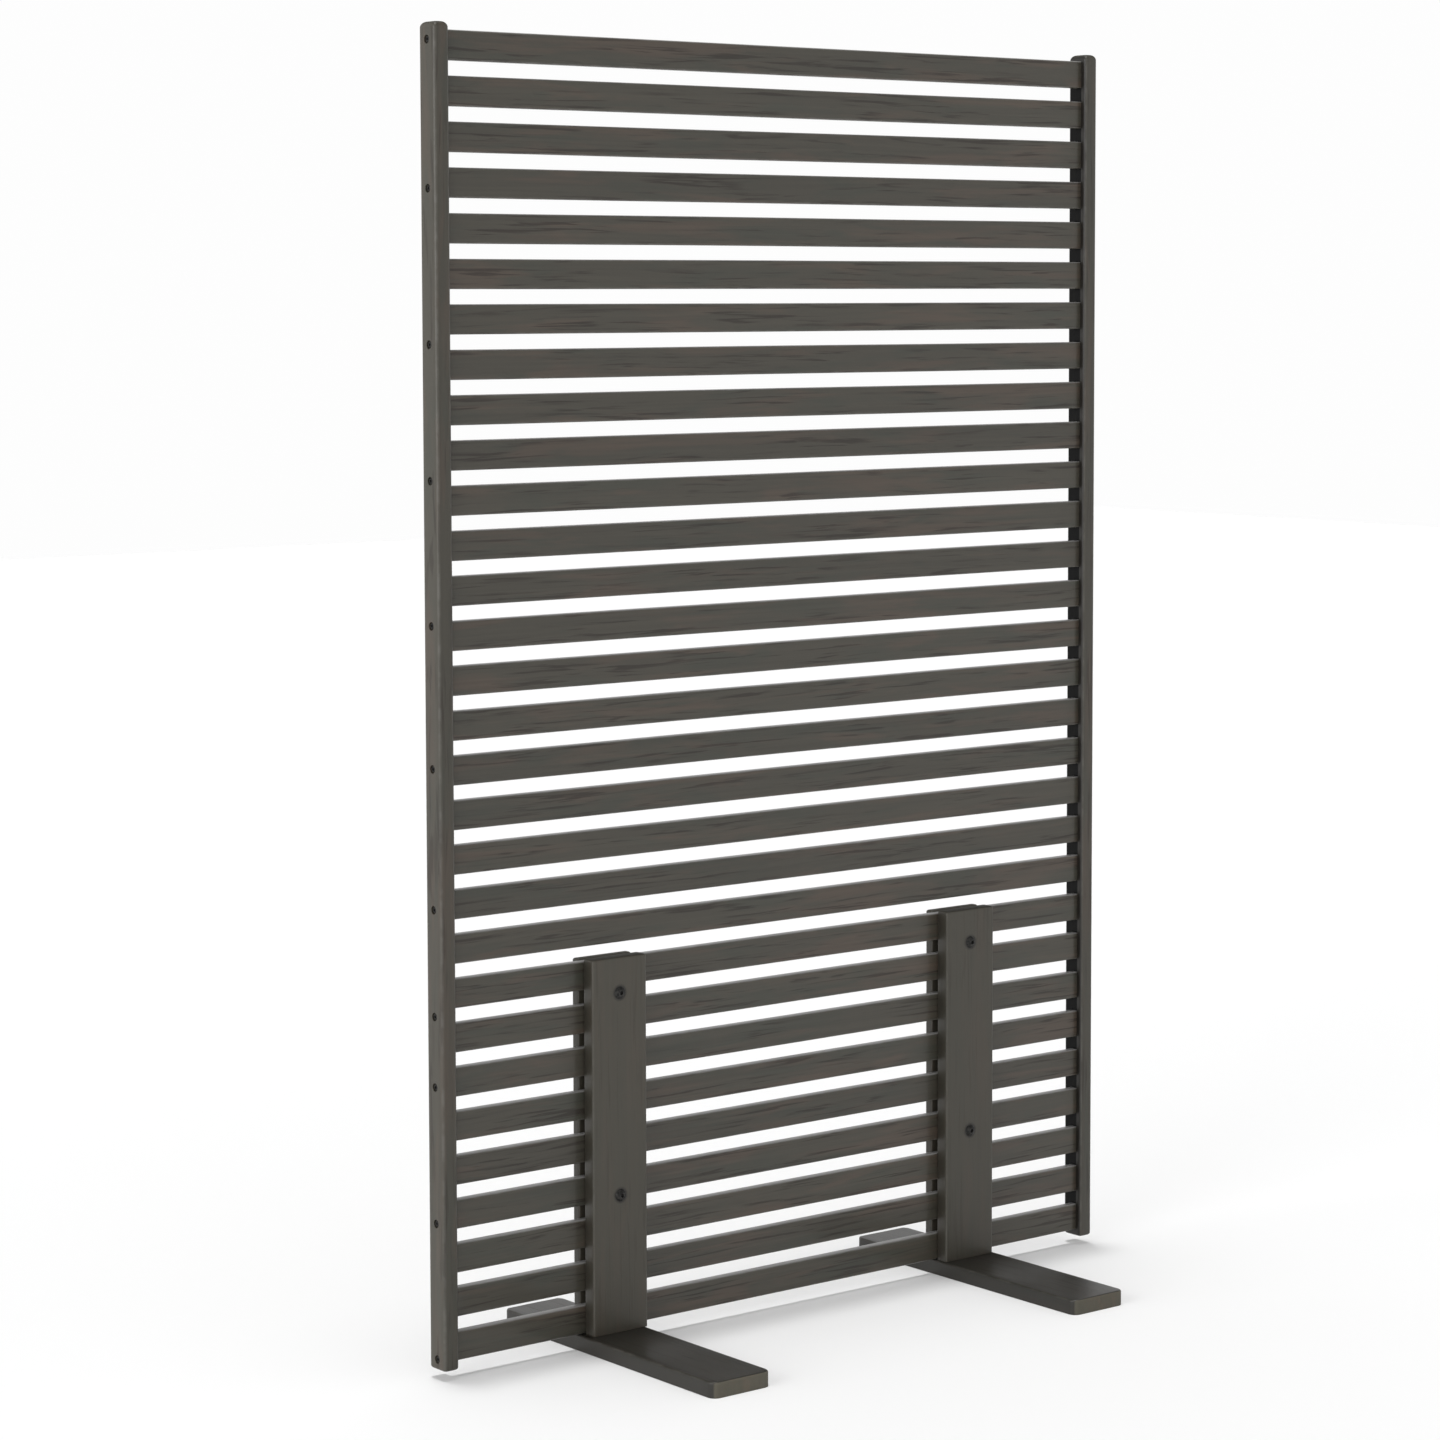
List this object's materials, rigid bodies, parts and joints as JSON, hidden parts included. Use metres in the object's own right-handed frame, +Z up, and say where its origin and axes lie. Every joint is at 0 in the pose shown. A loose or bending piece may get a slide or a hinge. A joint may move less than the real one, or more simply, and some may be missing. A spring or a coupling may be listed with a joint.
{
  "type": "garden privacy screen",
  "caption": "Free-standing slatted wooden privacy screen: level slats held between two rebated posts, clamped by bolted uprights over two flat cross feet.",
  "frame": {"origin": "on the ground, midway between the outer faces of the posts and between the feet's front and back ends", "axes": "+X along the slats, to the right as seen from the side with the uprights; -Y towards that side; +Z up"},
  "size_m": [1.2, 0.48, 1.813],
  "materials": {
    "slat_wood": "grey-brown stained and oiled, satin",
    "post_wood": "grey-brown stained and oiled, satin",
    "board_wood": "grey-brown stained and oiled, satin",
    "comb_plastic": "black, moulded",
    "bolt_steel": "dark grey coating",
    "screw_steel": "black coating"
  },
  "bodies": {
    "root": {"slat_01": "slat_wood", "slat_02": "slat_wood", "slat_03": "slat_wood", "slat_04": "slat_wood", "slat_05": "slat_wood", "slat_06": "slat_wood", "slat_07": "slat_wood", "slat_08": "slat_wood", "slat_09": "slat_wood", "slat_10": "slat_wood", "slat_11": "slat_wood", "slat_12": "slat_wood", "slat_13": "slat_wood", "slat_14": "slat_wood", "slat_15": "slat_wood", "slat_16": "slat_wood", "slat_17": "slat_wood", "slat_18": "slat_wood", "slat_19": "slat_wood", "slat_20": "slat_wood", "slat_21": "slat_wood", "slat_22": "slat_wood", "slat_23": "slat_wood", "slat_24": "slat_wood", "slat_25": "slat_wood", "slat_26": "slat_wood", "slat_27": "slat_wood", "slat_28": "slat_wood", "slat_29": "slat_wood", "slat_30": "slat_wood", "left_post": "post_wood", "left_comb_strip": "comb_plastic", "left_post_screws": "screw_steel", "left_upright": "board_wood", "left_rear_batten": "board_wood", "left_foot": "board_wood", "left_foot_screws": "screw_steel", "left_bolts": "bolt_steel", "left_washers": "bolt_steel", "left_nuts": "bolt_steel", "right_post": "post_wood", "right_comb_strip": "comb_plastic", "right_post_screws": "screw_steel", "right_upright": "board_wood", "right_rear_batten": "board_wood", "right_foot": "board_wood", "right_foot_screws": "screw_steel", "right_bolts": "bolt_steel", "right_washers": "bolt_steel", "right_nuts": "bolt_steel"}
  },
  "joints": []
}
